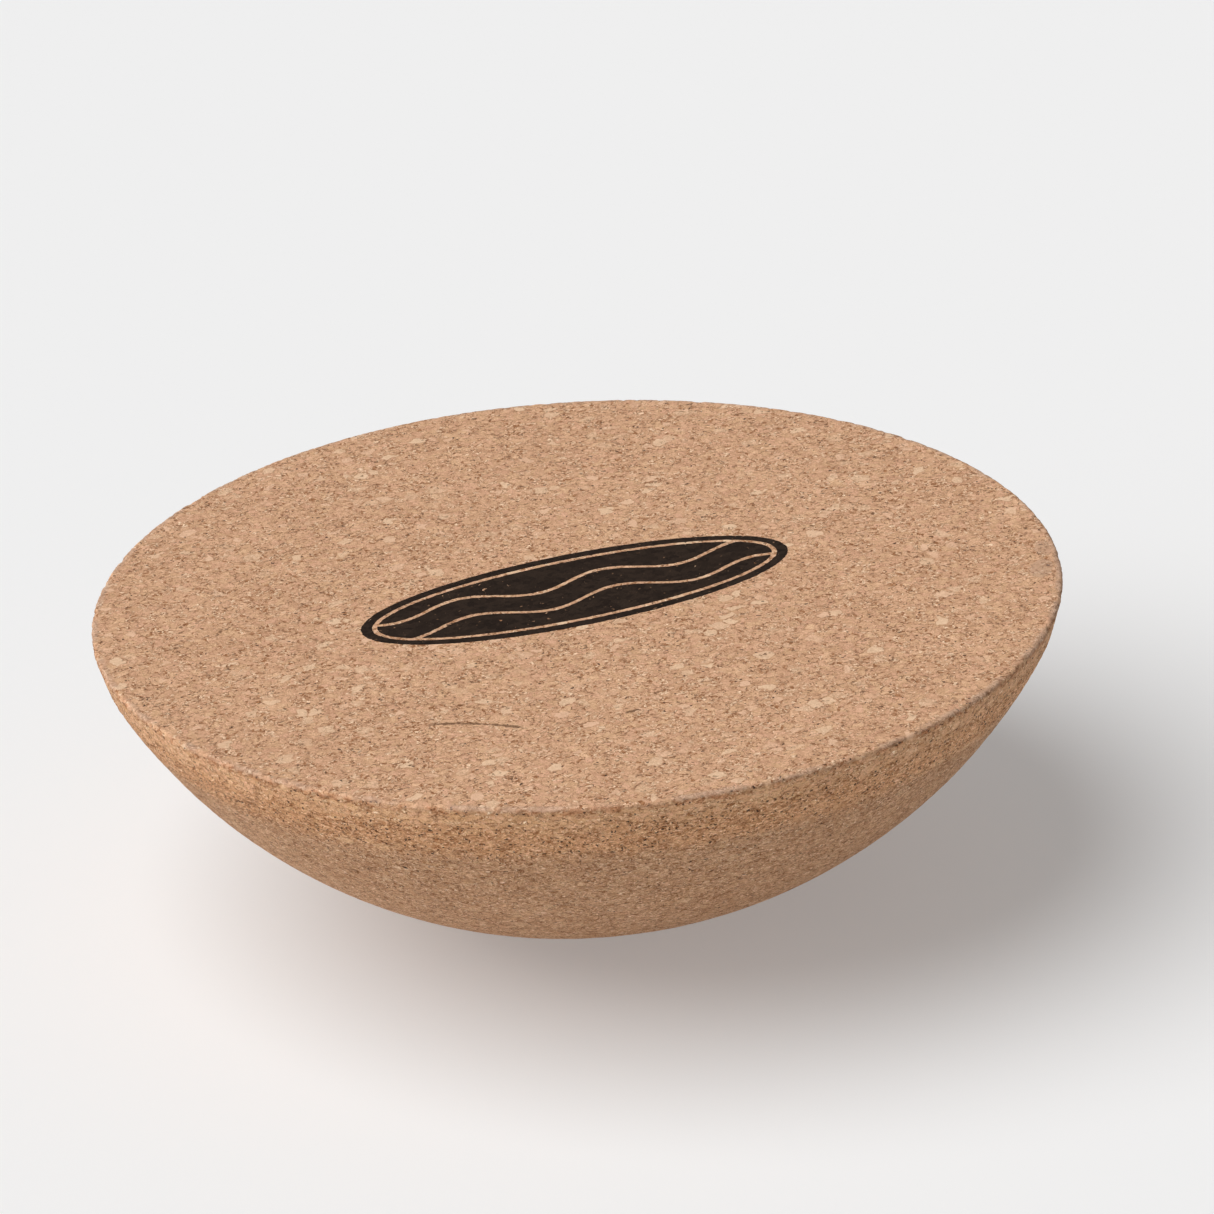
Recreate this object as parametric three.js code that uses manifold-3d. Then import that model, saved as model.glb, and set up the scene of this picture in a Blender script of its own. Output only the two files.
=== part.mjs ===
// Balance board: a round block of agglomerated cork with a flat deck on top and a ball-shaped
// dome underneath, and a black printed wave badge in the middle of the deck.
//
// Units are millimetres and +Z is up. The origin is the lowest point of the dome, on the
// board's centre line. +X runs along the badge, and +Y points to the badge's upper side.
import * as THREE from 'three';
import { mergeVertices } from 'three/addons/utils/BufferGeometryUtils.js';
import Module from 'manifold-3d';

const wasm = await Module();
wasm.setup();

// Board
const DECK_RADIUS = 180;
const HEIGHT = 120;
const EDGE_ROUND = 1.5; // radius of the worn edge between deck and rim
const RIM_HEIGHT = 12; // from the deck down to the start of the dome
const RIM_FOOT_RADIUS = 177; // the rim tapers in to this radius where the dome starts
const FOOT_RADIUS = 9; // small flat at the bottom of the dome, where the board touches the floor

// Badge: an oval border around a field of wave-shaped stripes
const BADGE_LENGTH = 168;
const BADGE_WIDTH = 62;
const BORDER_WIDTH = 4.2;
const LINE_WIDTH = 2; // bare cork between two inked areas
const WAVE_COUNT = 3; // stripes in the field
const WAVE_PITCH = 16; // from one stripe's middle to the next
const WAVE_HEIGHT = 4.5; // how far a stripe swings to each side
const WAVE_LENGTH = 56;

// Ink soaks into the cork, so each inked area fills a shallow pocket in the deck.
const INK_POCKET_DEPTH = 0.5;
const INK_DEPTH = 0.45;
const INK_GAP = 0.3; // clearance between an inked area and the sides of its pocket

// Fineness of the round shapes
const TURN_STEPS = 120;
const DOME_STEPS = 22;
const EDGE_STEPS = 5;
const OVAL_STEPS = 96;
const WAVE_STEPS = 72;

const CORK = new THREE.MeshStandardMaterial({ color: 0xc99f7a, roughness: 0.9, metalness: 0 });
const INK = new THREE.MeshStandardMaterial({ color: 0x1c1a19, roughness: 0.6, metalness: 0 });

// ---- From three.js geometry to solids and back ----

function toSolid(geometry) {
  geometry.deleteAttribute('normal');
  geometry.deleteAttribute('uv');
  const merged = mergeVertices(geometry);
  const vertProperties = new Float32Array(merged.attributes.position.array);
  const triVerts = new Uint32Array(merged.index.array);
  return new wasm.Manifold(new wasm.Mesh({ numProp: 3, vertProperties, triVerts }));
}

function toGeometry(solid) {
  const { vertProperties, triVerts } = solid.getMesh();
  const geometry = new THREE.BufferGeometry();
  geometry.setAttribute('position', new THREE.BufferAttribute(vertProperties, 3));
  geometry.setIndex(new THREE.BufferAttribute(triVerts, 1));
  geometry.computeVertexNormals();
  return geometry;
}

function part(name, solid, material) {
  const mesh = new THREE.Mesh(toGeometry(solid), material);
  mesh.name = name;
  return mesh;
}

// ---- Cork block ----

// Half section of the block, from the middle of the foot, up the dome and over the rim and the
// rounded edge, to the middle of the deck. The dome is an arc of one circle on the centre line,
// through the rim of the foot and the lower end of the rim.
function blockSection() {
  const rimFoot = HEIGHT - RIM_HEIGHT;
  const domeCentre = (RIM_FOOT_RADIUS ** 2 + rimFoot ** 2 - FOOT_RADIUS ** 2) / (2 * rimFoot);
  const domeRadius = Math.hypot(FOOT_RADIUS, domeCentre);
  const firstAngle = Math.asin(FOOT_RADIUS / domeRadius);
  const lastAngle = Math.asin(RIM_FOOT_RADIUS / domeRadius);

  const section = [new THREE.Vector2(0, 0)];
  for (let i = 0; i <= DOME_STEPS; i++) {
    const angle = firstAngle + ((lastAngle - firstAngle) * i) / DOME_STEPS;
    section.push(new THREE.Vector2(domeRadius * Math.sin(angle), domeCentre - domeRadius * Math.cos(angle)));
  }
  for (let i = 0; i <= EDGE_STEPS; i++) {
    const angle = (Math.PI / 2) * (i / EDGE_STEPS);
    const reach = DECK_RADIUS - EDGE_ROUND + EDGE_ROUND * Math.cos(angle);
    section.push(new THREE.Vector2(reach, HEIGHT - EDGE_ROUND + EDGE_ROUND * Math.sin(angle)));
  }
  section.push(new THREE.Vector2(0, HEIGHT));
  return section;
}

function blockSolid() {
  const turned = new THREE.LatheGeometry(blockSection(), TURN_STEPS);
  turned.rotateX(Math.PI / 2);
  return toSolid(turned);
}

// ---- Badge ----

// Each badge area is described by its outline on the deck. `grow` moves the outline outwards,
// which turns an inked area into the slightly wider pocket that holds it.

function ovalShape(inset, grow) {
  const halfLength = BADGE_LENGTH / 2 - inset + grow;
  const halfWidth = BADGE_WIDTH / 2 - inset + grow;
  return new THREE.Shape().absellipse(0, 0, halfLength, halfWidth, 0, 2 * Math.PI);
}

function waveLine(middle) {
  const points = [];
  for (let i = 0; i <= WAVE_STEPS; i++) {
    const x = BADGE_LENGTH * (i / WAVE_STEPS - 0.5);
    points.push(new THREE.Vector2(x, middle + WAVE_HEIGHT * Math.sin((2 * Math.PI * x) / WAVE_LENGTH)));
  }
  return points;
}

function plate(shape, depth) {
  const plateGeometry = new THREE.ExtrudeGeometry(shape, {
    depth,
    bevelEnabled: false,
    curveSegments: OVAL_STEPS / 4,
  });
  plateGeometry.translate(0, 0, HEIGHT - INK_POCKET_DEPTH);
  return toSolid(plateGeometry);
}

function borderSolid(depth, grow) {
  return plate(ovalShape(0, grow), depth).subtract(plate(ovalShape(BORDER_WIDTH, -grow), depth));
}

// One wave stripe of the field. The lowest and highest stripe run out to the border's line.
function stripeSolid(index, depth, grow) {
  const middle = (index - (WAVE_COUNT - 1) / 2) * WAVE_PITCH;
  const toLine = (WAVE_PITCH - LINE_WIDTH) / 2 + grow;
  const lower = index === 0 ? -BADGE_WIDTH : middle - toLine;
  const upper = index === WAVE_COUNT - 1 ? BADGE_WIDTH : middle + toLine;
  const band = new THREE.Shape([...waveLine(lower), ...waveLine(upper).reverse()]);
  const field = ovalShape(BORDER_WIDTH + LINE_WIDTH, grow);
  return plate(field, depth).intersect(plate(band, depth));
}

const badgeAreas = [{ name: 'badge_border', solid: borderSolid }];
for (let i = 0; i < WAVE_COUNT; i++) {
  badgeAreas.push({ name: `badge_wave_${i + 1}`, solid: (depth, grow) => stripeSolid(i, depth, grow) });
}

// ---- Assembly ----

const board = new THREE.Group();

let block = blockSolid();
for (const area of badgeAreas) {
  block = block.subtract(area.solid(2 * INK_POCKET_DEPTH, INK_GAP));
  board.add(part(area.name, area.solid(INK_DEPTH, 0), INK));
}
board.add(part('cork_body', block, CORK));

export default board;
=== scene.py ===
"""Looks of the cork balance board: a turned block of agglomerated cork with a printed badge."""
import math

import bmesh
import bpy
import numpy as np
from mathutils import Matrix, Vector


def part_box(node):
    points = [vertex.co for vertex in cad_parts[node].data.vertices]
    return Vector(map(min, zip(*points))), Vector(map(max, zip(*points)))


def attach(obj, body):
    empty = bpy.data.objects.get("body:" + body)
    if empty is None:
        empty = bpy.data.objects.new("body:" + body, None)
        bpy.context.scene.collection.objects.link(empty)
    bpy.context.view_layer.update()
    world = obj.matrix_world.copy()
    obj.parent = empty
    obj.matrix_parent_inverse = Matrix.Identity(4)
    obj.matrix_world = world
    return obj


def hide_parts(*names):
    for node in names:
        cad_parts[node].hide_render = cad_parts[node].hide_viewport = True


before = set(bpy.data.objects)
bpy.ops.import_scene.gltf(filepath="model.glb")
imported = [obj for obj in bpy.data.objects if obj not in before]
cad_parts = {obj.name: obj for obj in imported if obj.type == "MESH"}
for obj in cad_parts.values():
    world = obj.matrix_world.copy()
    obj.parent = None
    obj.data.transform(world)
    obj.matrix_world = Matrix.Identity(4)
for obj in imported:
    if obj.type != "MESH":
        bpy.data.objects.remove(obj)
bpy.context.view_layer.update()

MM = 0.001

# The board, as in the CAD model. Lengths are in millimetres, and positions are from the frame.
BLOCK_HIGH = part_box("cork_body")[1]
DECK_RADIUS = BLOCK_HIGH[0] / MM
DECK_Z = BLOCK_HIGH[2] / MM
EDGE_ROUND = 1.5
RIM_HEIGHT = 12.0
RIM_FOOT_RADIUS = 177.0
FOOT_RADIUS = 9.0

# The badge: an oval border around wave stripes
BADGE_HALF_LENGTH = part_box("badge_border")[1][0] / MM
BADGE_HALF_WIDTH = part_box("badge_border")[1][1] / MM
BORDER_WIDTH = 4.2
LINE_WIDTH = 2.0
WAVE_COUNT = 3
WAVE_PITCH = 16.0
WAVE_HEIGHT = 4.5
WAVE_LENGTH = 56.0
INK_ABOVE_DECK = 0.05
INK_BELOW_DECK = 0.35


# ---- Random patterns for the relief ----


def lattice_random(cells, salt):
    """A random number from 0 to 1 for each whole-numbered cell."""
    x, y, z = (cells[..., i].astype(np.uint64) for i in range(3))
    h = x * np.uint64(73856093) ^ y * np.uint64(19349663) ^ z * np.uint64(83492791)
    h ^= np.uint64(salt * 2654435761)
    for shift in (13, 17, 5):
        h = (h ^ (h >> np.uint64(shift))) * np.uint64(1274126177)
        h &= np.uint64(0xFFFFFFFF)
    return (h >> np.uint64(8)).astype(float) / 0xFFFFFF


def soft_noise(points, size, salt):
    """Smooth noise from -1 to 1, with lumps of about the given size."""
    scaled = points / size + 1000.0
    cells = np.floor(scaled).astype(np.int64)
    part = scaled - cells
    part = part * part * (3 - 2 * part)
    total = np.zeros(len(points))
    for corner in np.ndindex(2, 2, 2):
        weight = np.prod(np.where(corner, part, 1 - part), axis=1)
        total += weight * lattice_random(cells + corner, salt)
    return 2 * total - 1


def granules(points, size, salt):
    """For each point: how far it is from its granule's seam, from its heart, and a number of its own."""
    scaled = points / size + 1000.0
    cells = np.floor(scaled).astype(np.int64)
    nearest = np.full(len(points), 9.0)
    second = np.full(len(points), 9.0)
    own = np.zeros(len(points))
    for step in np.ndindex(3, 3, 3):
        cell = cells + np.array(step) - 1
        heart = cell + np.stack([lattice_random(cell, salt + i) for i in range(3)], axis=1)
        distance = np.linalg.norm(scaled - heart, axis=1)
        closer = distance < nearest
        second = np.where(closer, nearest, np.minimum(second, distance))
        own = np.where(closer, lattice_random(cell, salt + 3), own)
        nearest = np.where(closer, distance, nearest)
    return (second - nearest) * size, nearest * size, own


def ramp(value, low, high):
    """0 below low, 1 above high, and smooth between them. low may be above high."""
    part = np.clip((value - low) / (high - low), 0, 1)
    return part * part * (3 - 2 * part)


# ---- Relief of the cork ----


def under_badge(points):
    """1 within the badge, fading to 0 just outside it."""
    oval = np.hypot(points[:, 0] / BADGE_HALF_LENGTH, points[:, 1] / BADGE_HALF_WIDTH)
    return ramp(oval, 1.1, 1.03)


def pitted_band(points):
    """1 in the coarse band that runs around the side a little below the deck."""
    depth = DECK_Z - points[:, 2] + 1.5 * soft_noise(points, 16.0, 5)
    return ramp(depth, 7.0, 11.0) * ramp(depth, 27.0, 20.0)


def broken_out(points, size, salt, share, reach, depths):
    """Depth of the holes left by a share of the granules, from the least to the greatest of depths.

    reach is how far a hole's foot and its full depth lie from the granule's heart.
    """
    _, heart, own = granules(points, size, salt)
    least, greatest = depths
    deep = least + (greatest - least) * (own - (1 - share)) / share
    return (own > 1 - share) * ramp(heart, *reach) * deep


def cork_relief(points, side, corner):
    """How far the surface lies under its true shape, in mm, and how much of that is hollow, which sets the
    painted shade in the hollows.

    side is 1 on the turned side and 0 on the sanded deck. corner is 1 on the deck's edge.
    """
    band = pitted_band(points) * side
    seam, heart, own = granules(points, 2.7, 11)
    _, fine_heart, fine_own = granules(points, 1.5, 21)
    waves = 0.12 * side * soft_noise(points, 22.0, 31)
    step = (0.03 + 0.09 * side + 0.05 * corner) * (own - 0.5)
    groove = (0.03 + 0.10 * side + 0.1 * band) * ramp(seam, 0.7, 0.0)
    torn_share = 0.02 + 0.03 * side + 0.05 * band + 0.15 * corner
    torn = (own > 1 - torn_share) * ramp(heart, 1.5, 0.5) * (0.25 + 0.35 * side)
    small_share = 0.01 + 0.07 * side + 0.2 * band + 0.2 * corner
    small = (fine_own > 1 - small_share) * ramp(fine_heart, 0.9, 0.3) * (0.15 + 0.3 * side)
    chip = corner * broken_out(points, 5.5, 41, 0.25, (3.4, 1.2), (0.15, 0.6))
    crumbs = corner * broken_out(points, 1.3, 61, 0.45, (0.9, 0.2), (0.15, 0.45))
    depth = waves + step + groove + torn + small + chip + crumbs
    hollow = np.clip(1.6 * (torn + small) + 0.5 * groove + 0.25 * chip + 0.8 * crumbs, 0, 1)
    flat = 1 - under_badge(points) * (points[:, 2] > DECK_Z - 1)
    return depth * flat, hollow * flat


# ---- The cork block's mesh ----

# Distance between neighbouring rings along the section, in mm: fine in the band, finer by the edge
FINE_STEP = 0.9
EDGE_STEP = 0.6
DOME_STEP = 1.9
FOOT_STEP = 3.0
EDGE_REACH = 3.0
EDGE_RINGS = 4
FINE_DEPTH = 26.0

# Wanted distance between neighbouring corners of one ring, in mm. As the counts go by factors of
# two, it comes out at up to twice this.
EDGE_SEGMENT = 0.56
FINE_SEGMENT = 1.17
PLAIN_SEGMENT = 2.2
MOST_SEGMENTS = 2048

# corner where the deck begins. It is 1 where the rim ends.
DECK_CORNER = 0.6


def half_section():
    """Points from the foot's middle up the dome, over the rim and edge to the deck's middle.

    Each is (radius, height, outward radius part, outward height part, side, corner), in mm.
    """
    rim_foot = DECK_Z - RIM_HEIGHT
    centre = (RIM_FOOT_RADIUS**2 + rim_foot**2 - FOOT_RADIUS**2) / (2 * rim_foot)
    dome = math.hypot(FOOT_RADIUS, centre)
    first, last = math.asin(FOOT_RADIUS / dome), math.asin(RIM_FOOT_RADIUS / dome)
    rows = [(r, 0.0, 0.0, -1.0, 1.0, 0.0) for r in (0.0, 3.0, 6.0)]

    angle = first
    while angle < last - 0.003:
        r, z = dome * math.sin(angle), centre - dome * math.cos(angle)
        rows.append((r, z, math.sin(angle), -math.cos(angle), 1.0, 0.0))
        angle += (FINE_STEP if DECK_Z - z < FINE_DEPTH else coarse_spacing(r)) / dome

    rim_top = DECK_Z - EDGE_ROUND
    slope = (DECK_RADIUS - RIM_FOOT_RADIUS) / (rim_top - rim_foot)
    out = Vector((1.0, -slope)).normalized()
    z = rim_foot
    while z < rim_top - 0.3:
        near = max(0.0, 1 - (rim_top - z) / EDGE_REACH)
        rows.append((RIM_FOOT_RADIUS + slope * (z - rim_foot), z, out.x, out.y, 1.0, near))
        z += EDGE_STEP if near > 0 else FINE_STEP

    for i in range(EDGE_RINGS + 1):
        angle = math.pi / 2 * i / EDGE_RINGS
        r = DECK_RADIUS - EDGE_ROUND + EDGE_ROUND * math.cos(angle)
        z = rim_top + EDGE_ROUND * math.sin(angle)
        side = 1 - i / EDGE_RINGS
        corner = 1.0 - (1.0 - DECK_CORNER) * i / EDGE_RINGS
        rows.append((r, z, math.cos(angle), math.sin(angle), side, corner))

    r = DECK_RADIUS - EDGE_ROUND - EDGE_STEP
    while r > 2.0:
        near = max(0.0, 1 - (DECK_RADIUS - EDGE_ROUND - r) / EDGE_REACH) * DECK_CORNER
        rows.append((r, DECK_Z, 0.0, 1.0, 0.0, near))
        outermost = r > DECK_RADIUS - 8.0
        r -= EDGE_STEP if near > 0 else FINE_STEP if outermost else coarse_spacing(r)
    rows.append((0.0, DECK_Z, 0.0, 1.0, 0.0, 0.0))
    return rows


def segments(radius, step):
    """Number of corners of the ring at this radius: always MOST_SEGMENTS or a half, a quarter, ..."""
    wanted = 2 * math.pi * radius / step
    count = MOST_SEGMENTS
    while count > 8 and count > wanted * 1.01:
        count //= 2
    return count


def coarse_spacing(radius):
    """Distance along the section to the next ring where the relief is low."""
    return DOME_STEP if radius > 30 else FOOT_STEP


def ring_counts(rows):
    """Number of corners of each ring, where neighbours differ by no more than a factor of two."""
    counts = []
    for r, z, _, _, side, corner in rows:
        fine = side > 0 and DECK_Z - z < FINE_DEPTH
        step = EDGE_SEGMENT if corner > 0 else FINE_SEGMENT if fine else PLAIN_SEGMENT
        counts.append(1 if r == 0 else segments(r, step))
    for i in range(1, len(counts)):
        if counts[i] > 1:
            counts[i] = max(counts[i], counts[i - 1] // 2)
    for i in range(len(counts) - 2, -1, -1):
        if counts[i] > 1:
            counts[i] = max(counts[i], counts[i + 1] // 2)
    return counts


def turned_mesh(name):
    """The whole cork block as one closed mesh of rings, finer where the relief is stronger."""
    rows = half_section()
    counts = ring_counts(rows)
    starts = np.concatenate([[0], np.cumsum(counts)])
    points, outward, side, corner = [], [], [], []
    for (r, z, nr, nz, s, c), count in zip(rows, counts):
        turn = np.arange(count) * 2 * np.pi / count
        around, across = np.cos(turn), np.sin(turn)
        points.append(np.stack([r * around, r * across, np.full(count, z)], axis=1))
        outward.append(np.stack([nr * around, nr * across, np.full(count, nz)], axis=1))
        side.append(np.full(count, s))
        corner.append(np.full(count, c))
    points, outward = np.concatenate(points), np.concatenate(outward)
    depth, hollow = cork_relief(points, np.concatenate(side), np.concatenate(corner))
    foot = ramp(np.hypot(points[:, 0], points[:, 1]), 6.0, 16.0)
    low = points[:, 2] < DECK_Z / 2
    depth = np.where(low, np.maximum(depth, 0) * foot, depth)
    places = (points - outward * depth[:, None]) * MM

    faces = []
    for i in range(len(rows) - 1):
        faces += bridge(starts[i], counts[i], starts[i + 1], counts[i + 1])
    mesh = bpy.data.meshes.new(name)
    mesh.from_pydata(places.tolist(), [], faces)
    # How hollow each point is, which sets the painted shade in the hollows
    mesh.attributes.new("hollow", "FLOAT", "POINT").data.foreach_set("value", hollow.astype(np.float32))
    mesh.shade_smooth()
    mesh.validate()
    return mesh


def bridge(a, count_a, b, count_b):
    """Faces between two rings whose counts are equal or differ by a factor of two, or a point."""
    faces = []
    if count_a == 1 or count_b == 1:
        ring, count, tip = (b, count_b, a) if count_a == 1 else (a, count_a, b)
        for i in range(count):
            pair = (ring + i, ring + (i + 1) % count)
            faces.append((tip, pair[1], pair[0]) if count_a == 1 else (*pair, tip))
    elif count_a == count_b:
        for i in range(count_a):
            j = (i + 1) % count_a
            faces.append((a + i, a + j, b + j, b + i))
    elif count_b == 2 * count_a:
        for i in range(count_a):
            j = (i + 1) % count_a
            left, middle, right = b + 2 * i, b + 2 * i + 1, b + (2 * i + 2) % count_b
            faces += [(a + i, middle, left), (a + i, a + j, middle), (a + j, right, middle)]
    else:
        for i in range(count_b):
            j = (i + 1) % count_b
            left, middle, right = a + 2 * i, a + 2 * i + 1, a + (2 * i + 2) % count_a
            faces += [(left, middle, b + i), (middle, b + j, b + i), (middle, right, b + j)]
    return faces


# ---- Inked areas of the badge ----


def ink_solid(name, grid, ring):
    """A thin closed solid over a grid of deck points (rows, columns, xy). ring joins first row to last."""
    rows, columns = grid.shape[:2]
    flat = np.concatenate([grid.reshape(-1, 2), np.full((rows * columns, 1), DECK_Z)], axis=1)
    seam, heart, own = granules(flat, 2.7, 11)
    lift = INK_ABOVE_DECK + 0.03 * (own - 0.5) - 0.04 * ramp(seam, 0.6, 0.0)
    top = flat + [0, 0, 1] * lift[:, None]
    bottom = flat - [0, 0, INK_BELOW_DECK]
    count = rows * columns
    index = np.arange(count).reshape(rows, columns)
    faces = []
    for i in range(rows if ring else rows - 1):
        j = (i + 1) % rows
        for k in range(columns - 1):
            a, b, c, d = index[i, k], index[j, k], index[j, k + 1], index[i, k + 1]
            faces += [(a, b, c, d), (d + count, c + count, b + count, a + count)]
        for k, swap in ((0, False), (columns - 1, True)):
            a, b = index[i, k], index[j, k]
            faces.append((a, b, b + count, a + count) if swap else (b, a, a + count, b + count))
    if not ring:
        for i, swap in ((0, True), (rows - 1, False)):
            for k in range(columns - 1):
                a, b = index[i, k], index[i, k + 1]
                faces.append((a, b, b + count, a + count) if swap else (b, a, a + count, b + count))
    mesh = bpy.data.meshes.new(name)
    mesh.from_pydata((np.concatenate([top, bottom]) * MM).tolist(), [], faces)
    work = bmesh.new()
    work.from_mesh(mesh)
    bmesh.ops.recalc_face_normals(work, faces=work.faces)
    work.to_mesh(mesh)
    work.free()
    return mesh


def ragged_edge(points, salt):
    """How far the ink runs over its outline, in mm, where it follows the granules."""
    place = np.concatenate([points, np.zeros((len(points), 1))], axis=1)
    return 0.16 * soft_noise(place, 1.4, salt) + 0.10 * soft_noise(place, 0.7, salt + 1)


def oval_edge(turn, inset, salt):
    """Points of the badge's oval, drawn in by inset."""
    half = np.array([BADGE_HALF_LENGTH - inset, BADGE_HALF_WIDTH - inset])
    round_unit = np.stack([np.cos(turn), np.sin(turn)], axis=1)
    points = round_unit * half
    return points + round_unit * ragged_edge(points, salt)[:, None]


def border_mesh(name):
    turn = np.arange(480) * 2 * np.pi / 480
    outer, inner = oval_edge(turn, 0.0, 51), oval_edge(turn, BORDER_WIDTH, 53)
    share = np.linspace(0, 1, 5)[None, :, None]
    return ink_solid(name, inner[:, None] * (1 - share) + outer[:, None] * share, True)


def wave(x, middle):
    return middle + WAVE_HEIGHT * np.sin(2 * np.pi * x / WAVE_LENGTH)


def stripe_mesh(name, number):
    """One wave stripe. The lowest and highest stripe run out to the line inside the border."""
    inset = BORDER_WIDTH + LINE_WIDTH
    half_length, half_width = BADGE_HALF_LENGTH - inset, BADGE_HALF_WIDTH - inset
    middle = (number - (WAVE_COUNT - 1) / 2) * WAVE_PITCH
    reach = (WAVE_PITCH - LINE_WIDTH) / 2

    def edges(x):
        oval = half_width * np.sqrt(np.clip(1 - (x / half_length) ** 2, 0, 1))
        low = -oval if number == 0 else np.maximum(wave(x, middle - reach), -oval)
        high = oval if number == WAVE_COUNT - 1 else np.minimum(wave(x, middle + reach), oval)
        return low, high

    x = np.linspace(-half_length, half_length, 2001)
    low, high = edges(x)
    inside = x[high - low > 0.5]
    x = inside[0] + (inside[-1] - inside[0]) * (1 - np.cos(np.linspace(0, np.pi, 241))) / 2
    low, high = edges(x)
    low = low + ragged_edge(np.stack([x, low], axis=1), 55)
    high = high + ragged_edge(np.stack([x, high], axis=1), 57)
    share = np.linspace(0, 1, 17)
    y = low[:, None] * (1 - share) + high[:, None] * share
    return ink_solid(name, np.stack([np.broadcast_to(x[:, None], y.shape), y], axis=2), False)


# ---- Shader nodes ----


class Nodes:
    """Adds nodes to one material. Values may be numbers, colours, vectors or other nodes' outputs."""

    def __init__(self, name):
        self.material = bpy.data.materials.new(name)
        self.material.use_nodes = True
        self.tree = self.material.node_tree
        self.shader = self.tree.nodes["Principled BSDF"]

    def add(self, kind, settings=None, **values):
        node = self.tree.nodes.new("ShaderNode" + kind)
        for key, value in (settings or {}).items():
            setattr(node, key, value)
        for key, value in values.items():
            self.put(node.inputs[key], value)
        return node

    def put(self, socket, value):
        if isinstance(value, bpy.types.NodeSocket):
            self.tree.links.new(value, socket)
        else:
            socket.default_value = value

    def math(self, operation, *values, clamp=False):
        node = self.add("Math", {"operation": operation, "use_clamp": clamp})
        for socket, value in zip(node.inputs, values):
            self.put(socket, value)
        return node.outputs[0]

    def vector(self, operation, *values):
        node = self.add("VectorMath", {"operation": operation})
        for socket, value in zip(node.inputs, values):
            self.put(socket, value)
        return node.outputs["Value" if operation in ("LENGTH", "DISTANCE") else "Vector"]

    def scaled(self, vector, factor):
        node = self.add("VectorMath", {"operation": "SCALE"}, Scale=factor)
        self.put(node.inputs[0], vector)
        return node.outputs[0]

    def step(self, value, low, high, bottom=0.0, top=1.0):
        """bottom at low, top at high, and smooth between them."""
        values = {"Value": value, "From Min": low, "From Max": high, "To Min": bottom, "To Max": top}
        return self.add("MapRange", {"interpolation_type": "SMOOTHSTEP"}, **values).outputs[0]

    def line(self, value, low, high, bottom, top):
        values = {"Value": value, "From Min": low, "From Max": high, "To Min": bottom, "To Max": top}
        return self.add("MapRange", **values).outputs[0]

    def noise(self, vector, size, detail=2.0, roughness=0.5):
        return self.add("TexNoise", Vector=vector, Scale=1 / size, Detail=detail, Roughness=roughness)

    def cells(self, vector, size, feature="F1"):
        return self.add("TexVoronoi", {"feature": feature}, Vector=vector, Scale=1 / size)

    def mix(self, factor, a, b, blend="MIX"):
        node = self.add("Mix", {"data_type": "RGBA", "blend_type": blend})
        self.put(node.inputs[0], factor)
        self.put(node.inputs[6], a)
        self.put(node.inputs[7], b)
        return node.outputs[2]

    def blend(self, factor, a, b):
        """Like mix, but for plain numbers."""
        return self.add("Mix", {"data_type": "FLOAT"}, Factor=factor, A=a, B=b).outputs[0]

    def parts(self, mixed):
        """The red, green and blue parts of a colour."""
        node = self.add("SeparateColor")
        self.put(node.inputs[0], mixed)
        return node.outputs

    def both(self, *masks):
        """The product of masks or numbers: for masks, where all of them hold."""
        product = masks[0]
        for mask in masks[1:]:
            product = self.math("MULTIPLY", product, mask)
        return product


def colour(red, green, blue):
    """A colour given by its screen values, as the linear numbers that shaders use."""
    linear = [((v / 255 + 0.055) / 1.055) ** 2.4 for v in (red, green, blue)]
    return (*linear, 1.0)


# Cork, from the pale chips to the pits, and what wear and stains leave. The seam colour also paints shade
# in the hollows, the pit colour is painted shade, and the worn colour is partly a painted highlight.
PEACH = colour(210, 165, 131)
TAN = colour(214, 171, 133)
ROSE = colour(211, 163, 131)
BROWN = colour(162, 112, 75)
SEAM_AND_SHADE = colour(138, 94, 62)
PALE = colour(232, 197, 163)
ROSY = colour(230, 188, 156)
BARK = colour(116, 84, 59)
PIT_SHADE = colour(58, 38, 28)
WORN_AND_SHEEN = colour(190, 160, 139)
STAIN = colour(160, 138, 122)
TORN = colour(190, 126, 84)
SIDE_BARK = colour(128, 80, 52)

# The inks
INK_DARK = colour(35, 25, 19)
INK_LIGHT = colour(51, 39, 31)
INK_THIN = colour(88, 68, 54)
BARE_SPECK = colour(160, 122, 92)

# Dark cork is browner and pale cork greyer, so red, green and blue follow the tone unequally,
# and more so on the side.
TONE_POWERS = (0.86, 1.04, 1.22)
SIDE_TONE_POWERS = (0.80, 1.10, 1.55)

# Brightness of the whole pattern, and of the thin line just under the deck's edge, which is painted darker
# as shade that holds back the light on the rounded edge
DECK_LEVEL = 1.075
EDGE_LINE_LEVEL = 0.95

# Tints over the whole side: the rim, the coarse band below it and the dome. The band's warmer tint is
# partly painted shade between its pits, and the dome's darker tint is partly painted shade on the
# underside.
RIM_SHADE = (1.06, 1.03, 0.94, 1)
BAND_SHADE = (1.11, 1.02, 0.88, 1)
DOME_SHADE = (0.90, 0.87, 0.805, 1)

# How flat the granules are pressed
FLATTENED = 1.4


def granule_place(n):
    """Object position in mm, pressed a little flat and pulled about so that granules look ragged."""
    place = n.scaled(n.add("TexCoord").outputs["Object"], 1 / MM)
    flat = n.vector("MULTIPLY", place, (1.0, 1.0, FLATTENED))
    sway = n.vector("SUBTRACT", n.noise(flat, 4.0).outputs["Color"], (0.5, 0.5, 0.5))
    fray = n.vector("SUBTRACT", n.noise(flat, 1.0).outputs["Color"], (0.5, 0.5, 0.5))
    ragged = n.vector("ADD", flat, n.scaled(sway, 3.4))
    return place, n.vector("ADD", ragged, n.scaled(fray, 1.1))


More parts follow.
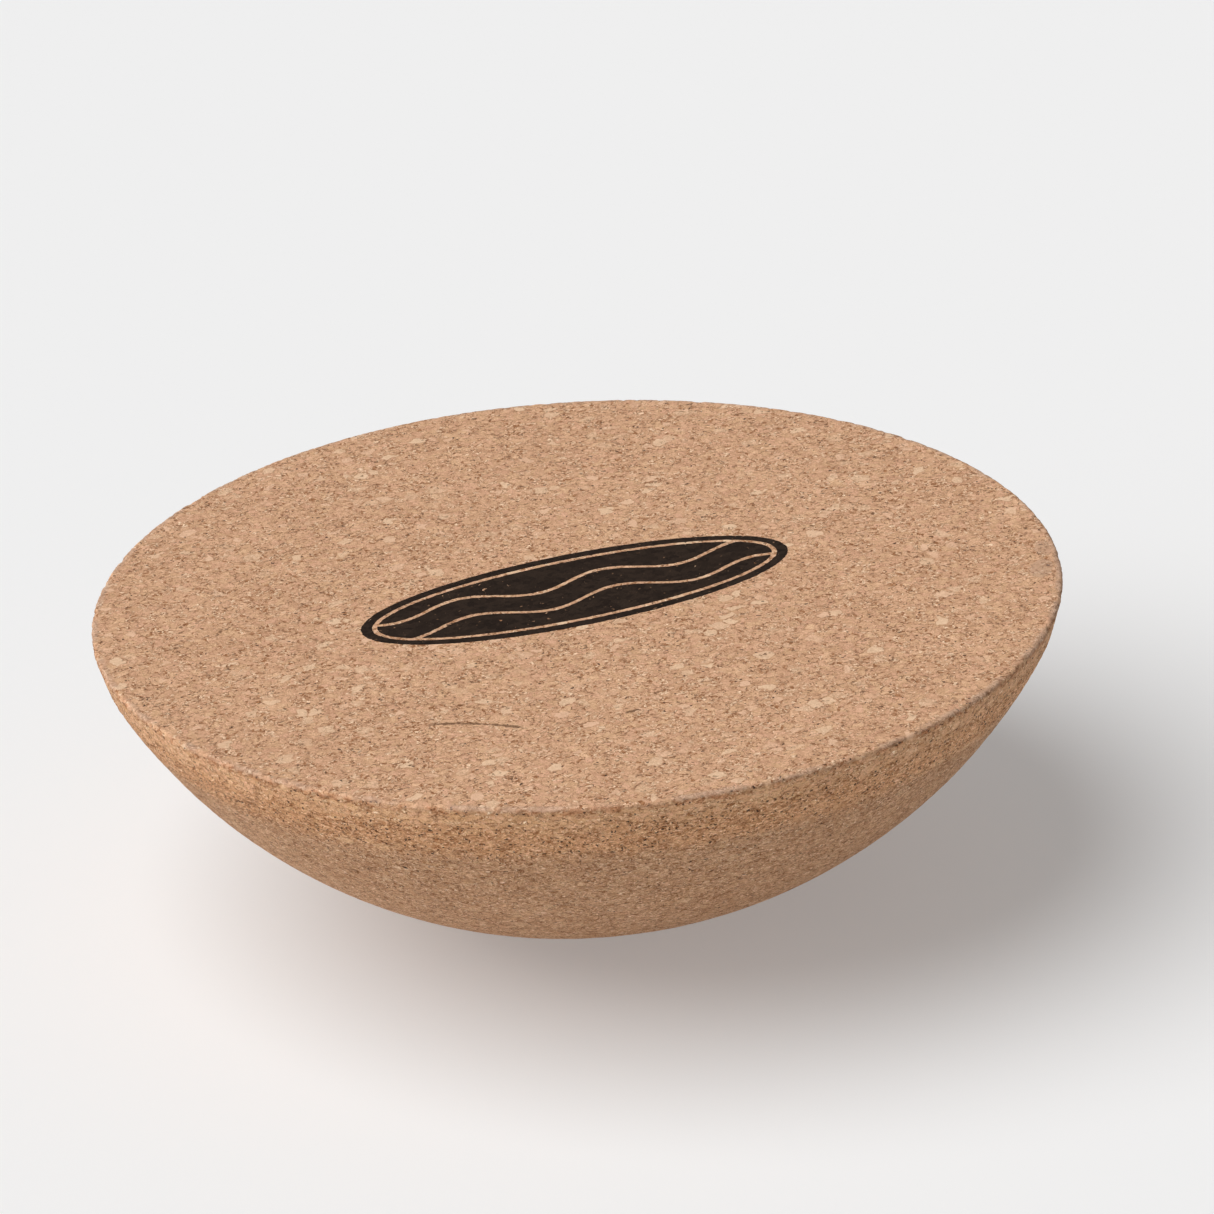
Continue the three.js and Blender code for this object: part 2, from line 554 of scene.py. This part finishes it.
# Long chips lie three ways. Each row has their width in mm, their turn about Z and their share
# of the area. They are CHIP_LENGTH times longer than wide, and tilted by CHIP_TILT in radians.
CHIP_LAYERS = ((2.1, 0.3, 0.28), (2.5, 1.4, 0.26), (1.8, 2.5, 0.26))
CHIP_LENGTH = 1.9
CHIP_TILT = 0.3


def long_chips(n, place, width, turn, share):
    """Flat chips that all lie one way.

    Gives a mask of them, three numbers of each chip's own, how near its rim is, and their place.
    """
    settings = {"vector_type": "TEXTURE"}
    sizes = {"Rotation": (CHIP_TILT, 0.0, turn), "Scale": (CHIP_LENGTH, 1.0, 0.9)}
    spot = n.add("Mapping", settings, Vector=place, Location=(turn, 90 * turn, 0.0), **sizes).outputs[0]
    cell = n.cells(spot, width)
    own = n.parts(cell.outputs["Color"])
    here = n.step(own[0], share + 0.005, share - 0.005)
    return here, own, n.step(cell.outputs["Distance"], 0.35, 0.8), spot


def one_patch(n, place, centre, length, width, turn):
    """1 inside one uneven oval patch."""
    sizes = {"Rotation": (0.0, 0.0, turn), "Scale": (length / 2, width / 2, 2.0)}
    spot = n.add("Mapping", {"vector_type": "TEXTURE"}, Vector=place, Location=centre, **sizes).outputs[0]
    return n.step(n.vector("LENGTH", spot), 1.05, 0.9)


# Marks on the deck. Each row has its middle, length, width and turn, and how strongly it shows
# its colour.
DECK_MARKS = (
    ((-37.0, -88.0), 7.5, 5.0, 0.5, 0.7, PALE),
    ((-42.0, -97.0), 5.5, 4.5, 0.0, 0.7, ROSY),
    ((-91.0, -144.0), 6.0, 5.0, 0.9, 0.8, ROSY),
    ((-19.0, -106.0), 6.0, 1.2, 0.1, 0.9, BARK),
    ((160.0, -64.0), 17.0, 9.0, 1.0, 0.3, STAIN),
    ((168.0, -48.0), 14.0, 6.0, 1.3, 0.25, STAIN),
)

# The scratch is part of a circle, and fades away from its middle
SCRATCH_CENTRE = (-108.0, -148.0, DECK_Z)
SCRATCH_RADIUS = 68.5
SCRATCH_MIDDLE = (-71.0, -90.0, DECK_Z)
SCRATCH_HALF_LENGTH = 20.0


def scratch(n, place):
    """1 along a thin curved scratch in the deck, fading towards its ends."""
    reach = n.vector("DISTANCE", place, SCRATCH_CENTRE)
    off = n.math("ABSOLUTE", n.math("SUBTRACT", reach, SCRATCH_RADIUS))
    along = n.vector("DISTANCE", place, SCRATCH_MIDDLE)
    return n.both(n.step(off, 1.1, 0.4), n.step(along, SCRATCH_HALF_LENGTH, SCRATCH_HALF_LENGTH - 6.0))


class CorkPattern:
    """The cork's colour, laid down layer by layer from granules of several sizes.

    tint is the colour so far, and tone is how bright each granule is against the others.
    """

    def __init__(self, n):
        self.n = n
        self.place, self.ragged = granule_place(n)
        self.find_zones()
        self.clusters = n.noise(self.place, 8.0, 3.0, 0.6).outputs["Fac"]
        self.breaks = n.noise(self.place, 2.4, 2.0).outputs["Fac"]
        self.fuzz = n.noise(self.ragged, 0.65, 1.0, 0.5).outputs["Fac"]
        self.lay_crumb()
        self.lay_long_chips()
        self.lay_streaks()
        self.lay_seams()
        self.lay_large_chips()
        self.lay_bark()
        self.lay_pits()
        self.paint_edge_wear_and_sheen()
        self.lay_deck_marks()
        self.shade_side()
        self.apply_tone()

    def find_zones(self):
        """Where each point lies: radius and depth in mm, and masks for the side and its coarse band."""
        n = self.n
        x, y, z = n.add("SeparateXYZ", Vector=self.place).outputs
        self.radius = n.math("SQRT", n.math("ADD", n.both(x, x), n.both(y, y)))
        self.depth = n.math("SUBTRACT", DECK_Z, z)
        self.side = n.step(self.depth, 0.3, 2.5)
        drift = n.noise(self.place, 9.0).outputs["Fac"]
        self.band_depth = n.math("ADD", self.depth, n.line(drift, 0.0, 1.0, -4.0, 4.0))
        band_top = n.step(self.band_depth, 6.0, 11.0)
        self.band = n.both(band_top, n.step(self.band_depth, 29.0, 19.0), self.side)
        self.below_rim = n.both(self.side, band_top)

    def paint(self, mask, shade):
        """Lay a shade, a colour or a node's output, over the tint where the mask holds."""
        self.tint = self.n.mix(mask, self.tint, shade)

    def lay_crumb(self):
        """The fine crumb that fills the room between the chips."""
        n = self.n
        crumb = n.parts(n.cells(self.ragged, 0.95).outputs["Color"])
        self.tint = n.mix(n.step(crumb[1], 0.68, 0.92, 0.0, 0.9), PEACH, PALE)
        self.paint(n.step(crumb[1], 0.42, 0.08, 0.0, 1.0), BROWN)
        ragged_tone = n.line(self.fuzz, 0.25, 0.75, 0.55, 1.40)
        self.tone = n.both(n.line(crumb[0], 0.0, 1.0, 0.85, 1.15), ragged_tone)

    def lay_long_chips(self):
        """Chips lying over each other, each with its own tone and painted shade towards its rim. They show
        less below the rim.
        """
        n = self.n
        self.chip_places = []
        for width, turn, share in CHIP_LAYERS:
            here, own, rim, spot = long_chips(n, self.ragged, width, turn, share)
            self.chip_places.append(spot)
            here = n.both(here, n.line(self.below_rim, 0.0, 1.0, 1.0, 0.4))
            self.paint(here, n.mix(own[1], TAN, ROSE))
            # Painted shade: each chip darkens towards its rim, so that it looks rounded
            even = n.both(n.line(own[2], 0.0, 1.0, 0.92, 1.12), n.line(rim, 0.0, 1.0, 1.02, 0.86))
            even = n.both(even, n.line(self.fuzz, 0.25, 0.75, 0.76, 1.24))
            self.tone = n.blend(here, self.tone, even)
        patches = n.noise(self.place, 30.0, 3.0).outputs["Fac"]
        self.tone = n.both(self.tone, n.line(patches, 0.3, 0.7, 0.96, 1.04))

    def lay_streaks(self):
        """Fine level streaks and grit below the rim, where the chips are cut across."""
        n = self.n
        grain = n.noise(n.vector("MULTIPLY", self.ragged, (0.2, 0.2, 1.0)), 0.55, 2.0).outputs["Fac"]
        grit = n.parts(n.cells(self.ragged, 0.75).outputs["Color"])[0]
        rough = n.both(n.line(grain, 0.3, 0.7, 0.77, 1.23), n.line(grit, 0.0, 1.0, 0.84, 1.16))
        self.tone = n.both(self.tone, n.blend(self.below_rim, 1.0, rough))

    def lay_seams(self):
        """Broken dark seams between granules, stronger where granules cluster."""
        n = self.n
        gap = n.cells(self.ragged, 2.6, "DISTANCE_TO_EDGE").outputs["Distance"]
        seam = n.both(n.step(gap, 0.08, 0.02), n.step(self.breaks, 0.46, 0.54))
        self.seam = n.both(seam, n.step(self.clusters, 0.35, 0.6, 0.4, 1.0))
        self.paint(n.both(self.seam, 0.8), SEAM_AND_SHADE)

    def lay_large_chips(self):
        """Large smooth pale chips, each with a dark rim."""
        n = self.n
        own = n.parts(n.cells(self.ragged, 5.2).outputs["Color"])
        gap = n.cells(self.ragged, 5.2, "DISTANCE_TO_EDGE").outputs["Distance"]
        here = n.both(n.step(own[0], 0.87, 0.88), n.line(own[1], 0.0, 1.0, 0.2, 1.0))
        here = n.both(here, n.line(self.side, 0.0, 1.0, 1.0, 0.55))
        inside = n.both(n.step(gap, 0.05, 0.12), here)
        streaks = n.noise(n.vector("MULTIPLY", self.place, (0.35, 1.6, 1.6)), 0.8, 2.0).outputs["Fac"]
        shade = n.mix(n.step(own[2], 0.4, 0.6), PALE, ROSY)
        shade = n.mix(n.step(streaks, 0.45, 0.75, 0.0, 0.4), shade, TAN)
        self.paint(n.both(inside, 0.9), shade)
        self.tone = n.blend(n.both(inside, 0.7), self.tone, 1.0)
        rim = n.both(n.step(gap, 0.09, 0.03), here, n.step(self.fuzz, 0.4, 0.6))
        self.paint(n.both(rim, 0.6), SEAM_AND_SHADE)

    def lay_bark(self):
        """Slivers of dark bark, in clusters, lying two ways. On the side they are fewer and browner."""
        n = self.n
        gate = n.line(self.clusters, 0.3, 0.7, -0.06, 0.05)
        gate = n.math("SUBTRACT", gate, n.both(self.side, 0.025))
        shade = n.mix(self.side, BARK, SIDE_BARK)
        for spot in self.chip_places[:2]:
            own = n.parts(n.cells(spot, 0.8).outputs["Color"])
            here = n.step(n.math("ADD", own[0], gate), 0.955, 0.985)
            self.paint(n.both(here, n.line(own[1], 0.0, 1.0, 0.2, 0.85)), shade)

    def lay_pits(self):
        """Small deep holes painted near black as shade, and torn cork just under the deck's edge."""
        n = self.n
        pit = n.cells(n.vector("MULTIPLY", self.ragged, (1.0, 1.0, 1 / FLATTENED)), 1.2)
        near_edge = n.both(n.step(self.depth, 0.2, 0.8), n.step(self.depth, 4.0, 2.0))
        under_edge = n.both(near_edge, n.step(self.clusters, 0.4, 0.55))
        gate = n.math("ADD", n.parts(pit.outputs["Color"])[0], n.both(self.band, 0.2))
        gate = n.math("ADD", gate, n.both(under_edge, 0.15))
        self.paint(n.both(under_edge, n.step(self.breaks, 0.42, 0.58), 0.55), TORN)
        self.pits = n.both(n.step(gate, 0.97, 0.975), n.step(pit.outputs["Distance"], 0.42, 0.30))
        # Painted shade: the pits are darkened almost to black
        self.paint(n.both(self.pits, 0.9), PIT_SHADE)

    def paint_edge_wear_and_sheen(self):
        """The edge of the deck paler and greyer here and there: partly wear, partly a painted highlight
        where the edge catches the light.
        """
        n = self.n
        wear_and_sheen_patches = n.step(n.noise(self.place, 14.0, 2.0).outputs["Fac"], 0.42, 0.58)
        edge = n.both(n.step(self.radius, 176.5, 178.6), n.step(self.depth, 1.6, 0.6))
        # Partly wear, partly a painted highlight along the deck's edge
        self.paint(n.both(edge, wear_and_sheen_patches, 0.5), WORN_AND_SHEEN)

    def lay_deck_marks(self):
        """Single flakes, stains and the scratch on the deck."""
        n = self.n
        sway = n.vector("SUBTRACT", n.noise(self.place, 1.8).outputs["Color"], (0.5, 0.5, 0.5))
        swayed = n.vector("ADD", self.place, n.scaled(sway, 3.0))
        for centre, length, width, turn, strength, shade in DECK_MARKS:
            mark = one_patch(n, swayed, (*centre, DECK_Z), length, width, turn)
            self.paint(n.both(mark, strength), shade)
            self.tone = n.blend(n.both(mark, 0.7), self.tone, 1.0)
        self.paint(n.both(scratch(n, swayed), n.step(self.breaks, 0.3, 0.5, 0.45, 0.9)), BARK)

    def shade_side(self):
        """Painted shade in the hollows, and the tints of the rim, the coarse band and the dome, which are
        partly painted shade.
        """
        n = self.n
        hollow = n.add("Attribute", {"attribute_name": "hollow"}).outputs["Fac"]
        # Painted shade: the hollows of the relief are darkened towards the seam colour
        self.paint(n.line(hollow, 0.05, 0.8, 0.0, 0.45), SEAM_AND_SHADE)
        # Partly painted shade: the band is tinted warmer and the dome darker than the rim
        shade = n.mix(n.step(self.band_depth, 6.0, 12.0), RIM_SHADE, BAND_SHADE)
        shade = n.mix(n.step(self.band_depth, 18.0, 29.0), shade, DOME_SHADE)
        self.tint = n.mix(1.0, self.tint, n.mix(self.side, (1, 1, 1, 1), shade), "MULTIPLY")

    def apply_tone(self):
        """The tone spread out in the band and the dome, held back on the rim, and put on the tint."""
        n = self.n
        calm = n.math("SUBTRACT", self.side, self.band)
        rim = n.both(self.side, n.step(self.band_depth, 12.0, 6.0))
        contrast = n.math("ADD", n.line(self.band, 0.0, 1.0, 1.0, 1.9), n.both(calm, 0.5))
        contrast = n.math("SUBTRACT", contrast, n.both(rim, 0.5))
        self.tone = n.math("MAXIMUM", n.blend(contrast, 1.0, self.tone), 0.1)
        powers = [n.math("POWER", self.tone, n.line(self.side, 0.0, 1.0, on_deck, on_side))
                  for on_deck, on_side in zip(TONE_POWERS, SIDE_TONE_POWERS)]
        spread = n.add("CombineXYZ", X=powers[0], Y=powers[1], Z=powers[2]).outputs[0]
        # Painted shade: the thin line just under the deck's edge is darkened against the light on the
        # rounded edge
        edge_line = n.both(n.step(self.depth, 0.3, 1.2), n.step(self.depth, 3.5, 1.6))
        level = n.line(edge_line, 0.0, 1.0, DECK_LEVEL, EDGE_LINE_LEVEL)
        self.tint = n.scaled(n.vector("MULTIPLY", self.tint, spread), level)

    def height(self):
        """The height for the bump: bright granules stand up, and seams and pits lie low."""
        n = self.n
        height = n.math("SUBTRACT", n.both(self.tone, 0.5), n.both(self.seam, 0.12))
        return n.math("SUBTRACT", height, n.both(self.pits, 0.4))


def cork_material():
    n = Nodes("cork")
    cork = CorkPattern(n)
    strength = n.line(cork.side, 0.0, 1.0, 0.45, 0.9)
    bump = n.add("Bump", Height=cork.height(), Distance=MM, Strength=strength)
    n.put(n.shader.inputs["Base Color"], cork.tint)
    n.put(n.shader.inputs["Roughness"], n.line(cork.fuzz, 0.2, 0.8, 0.98, 0.78))
    n.put(n.shader.inputs["Normal"], bump.outputs[0])
    n.shader.inputs["Specular IOR Level"].default_value = 0.3
    return n.material


def ink_material():
    n = Nodes("ink")
    place, ragged = granule_place(n)
    granule = n.cells(ragged, 2.5)
    own = n.parts(granule.outputs["Color"])
    fuzz = n.noise(ragged, 0.6, 3.0, 0.6).outputs["Fac"]
    black = n.mix(own[0], INK_DARK, INK_LIGHT)
    thin = n.both(n.step(fuzz, 0.55, 0.75), n.step(n.noise(place, 12.0, 2.0).outputs["Fac"], 0.45, 0.65))
    black = n.mix(n.both(thin, 0.5), black, INK_THIN)
    speck = n.cells(ragged, 1.4)
    speck_own = n.parts(speck.outputs["Color"])
    speck_mask = n.both(n.step(speck_own[0], 0.955, 0.965), n.step(speck.outputs["Distance"], 0.32, 0.15))
    black = n.mix(n.both(speck_mask, n.line(speck_own[1], 0.0, 1.0, 0.2, 0.9)), black, BARE_SPECK)
    n.put(n.shader.inputs["Base Color"], black)
    n.put(n.shader.inputs["Roughness"], n.line(fuzz, 0.2, 0.8, 0.95, 0.7))
    height = n.math("ADD", n.both(own[1], 0.1), n.both(fuzz, 0.15))
    bump = n.add("Bump", Height=height, Distance=MM, Strength=0.6)
    n.put(n.shader.inputs["Normal"], bump.outputs[0])
    n.shader.inputs["Specular IOR Level"].default_value = 0.12
    return n.material


# ---- Pieces ----


def new_piece(mesh, material, body, slot, *nodes):
    """A piece that rides on a body of the CAD model and takes the place of some of its nodes."""
    piece = bpy.data.objects.new(mesh.name, mesh)
    bpy.context.scene.collection.objects.link(piece)
    mesh.materials.append(material)
    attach(piece, body)
    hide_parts(*nodes)


new_piece(turned_mesh("cork_block"), cork_material(), "root", "cork", "cork_body")

ink = ink_material()
new_piece(border_mesh("badge_frame"), ink, "root", "ink", "badge_border")
for i in range(WAVE_COUNT):
    new_piece(stripe_mesh(f"badge_stripe_{i + 1}", i), ink, "root", "ink", f"badge_wave_{i + 1}")


# ---- Floor, light and camera ----


FLOOR_GLOW = 0.24
FLOOR_HALF_WIDTH = 14.0


def floor_material():
    """A pale sheet that glows a little, which keeps the shadow light."""
    n = Nodes("floor")
    n.shader.inputs["Base Color"].default_value = (0.67, 0.67, 0.67, 1)
    n.shader.inputs["Roughness"].default_value = 0.9
    n.shader.inputs["Specular IOR Level"].default_value = 0.0
    n.shader.inputs["Emission Color"].default_value = (1, 1, 1, 1)
    n.shader.inputs["Emission Strength"].default_value = FLOOR_GLOW
    return n.material


def make_floor():
    """A flat sheet, wide enough that its far side lies near the horizon in a low view."""
    mesh = bpy.data.meshes.new("floor")
    half = FLOOR_HALF_WIDTH
    corners = [(-half, -half, 0), (half, -half, 0), (half, half, 0), (-half, half, 0)]
    mesh.from_pydata(corners, [], [(0, 1, 2, 3)])
    floor = bpy.data.objects.new("floor", mesh)
    bpy.context.scene.collection.objects.link(floor)
    mesh.materials.append(floor_material())


def make_light(name, azimuth, elevation, softness, strength):
    """A wide, far softbox.

    azimuth and elevation say where it stands, and softness how wide it looks, all in degrees.
    """
    data = bpy.data.lights.new(name, "SUN")
    data.angle = math.radians(softness)
    data.energy = strength
    lamp = bpy.data.objects.new(name, data)
    turn = Matrix.Rotation(math.radians(azimuth), 4, "Z")
    lamp.matrix_world = turn @ Matrix.Rotation(math.radians(90 - elevation), 4, "X")
    bpy.context.scene.collection.objects.link(lamp)


# The same brightness as the lit floor, so that no horizon shows
BACKDROP_LEVEL = 0.861
WORLD_LEVEL = 0.17


def make_world(strength):
    """Even light from all round, with a backdrop that the camera sees as pale as the floor."""
    world = bpy.data.worlds.new("studio")
    world.use_nodes = True
    tree = world.node_tree
    seen = tree.nodes.new("ShaderNodeLightPath").outputs["Is Camera Ray"]
    level = tree.nodes.new("ShaderNodeMapRange")
    tree.links.new(seen, level.inputs["Value"])
    level.inputs["To Min"].default_value = strength
    level.inputs["To Max"].default_value = BACKDROP_LEVEL
    tree.links.new(level.outputs[0], tree.nodes["Background"].inputs["Strength"])
    tree.nodes["Background"].inputs["Color"].default_value = (1, 1, 1, 1)
    bpy.context.scene.world = world


# The photo's viewpoint: angles in degrees, lengths in metres, and the lens in mm. The last two
# say where the middle of the deck lies off the camera's axis.
CAMERA_AZIMUTH = -19.5
CAMERA_ELEVATION = 24.85
CAMERA_ROLL = -3.55
CAMERA_DISTANCE = 2.225
CAMERA_LENS = 177.9
DECK_LEFT_OF_AXIS = 0.01135
DECK_ABOVE_AXIS = 0.00656


def make_camera():
    data = bpy.data.cameras.new("camera")
    data.lens = CAMERA_LENS
    turn = Matrix.Rotation(math.radians(CAMERA_AZIMUTH), 3, "Z")
    turn = turn @ Matrix.Rotation(math.radians(90 - CAMERA_ELEVATION), 3, "X")
    turn = turn @ Matrix.Rotation(math.radians(CAMERA_ROLL), 3, "Z")
    deck_seen = Vector((-DECK_LEFT_OF_AXIS, DECK_ABOVE_AXIS, -CAMERA_DISTANCE))
    camera = bpy.data.objects.new("camera", data)
    camera.matrix_world = Matrix.Translation(Vector((0, 0, DECK_Z * MM)) - turn @ deck_seen) @ turn.to_4x4()
    bpy.context.scene.collection.objects.link(camera)
    bpy.context.scene.camera = camera


make_floor()
make_world(WORLD_LEVEL)
make_light("key", -90, 57, 60, 2.6)
make_light("left_fill", -95, 14, 50, 0.8)
make_camera()
bpy.context.scene.view_settings.view_transform = "Standard"
